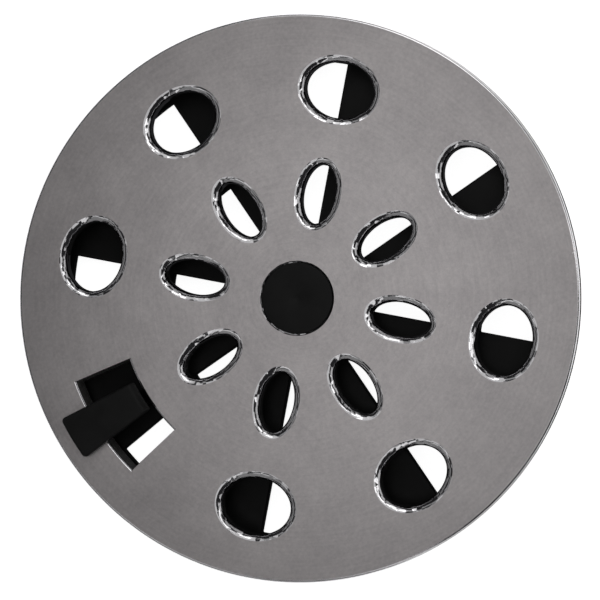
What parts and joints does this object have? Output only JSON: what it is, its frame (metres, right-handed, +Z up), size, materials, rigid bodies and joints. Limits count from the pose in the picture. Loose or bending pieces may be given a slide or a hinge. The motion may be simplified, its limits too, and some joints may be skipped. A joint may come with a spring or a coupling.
{
  "type": "floor drain grate",
  "caption": "Round chromed floor drain grate with oval and petal holes over a black plastic shutter, which a thumb lever in a slot turns about a centre pin to open or close the holes.",
  "frame": {"origin": "on the plate's axis, level with the bottom of the spigot that the part rests on", "axes": "+Z up, out of the face; +X through the lever slot, midway between the oval holes on either side of it"},
  "size_m": [0.1, 0.1, 0.0156],
  "materials": {
    "satin_chrome": "satin brushed face, polished hole edges",
    "black_plastic": "moulded, fine grain",
    "stainless_steel": "bright"
  },
  "bodies": {
    "grate": {"grate_plate": "satin_chrome", "pivot_pin": "black_plastic", "wave_washer": "stainless_steel", "flat_washer": "stainless_steel", "retaining_screw": "stainless_steel"},
    "shutter": {"shutter_disc": "black_plastic", "thumb_lever": "black_plastic"}
  },
  "joints": [
    {"name": "shutter_turn", "type": "hinge", "parent": "grate", "child": "shutter", "pos_m": [0, 0, 0.0045], "axis": [0, 0, 1], "range_deg": [-9, 11.5]}
  ]
}
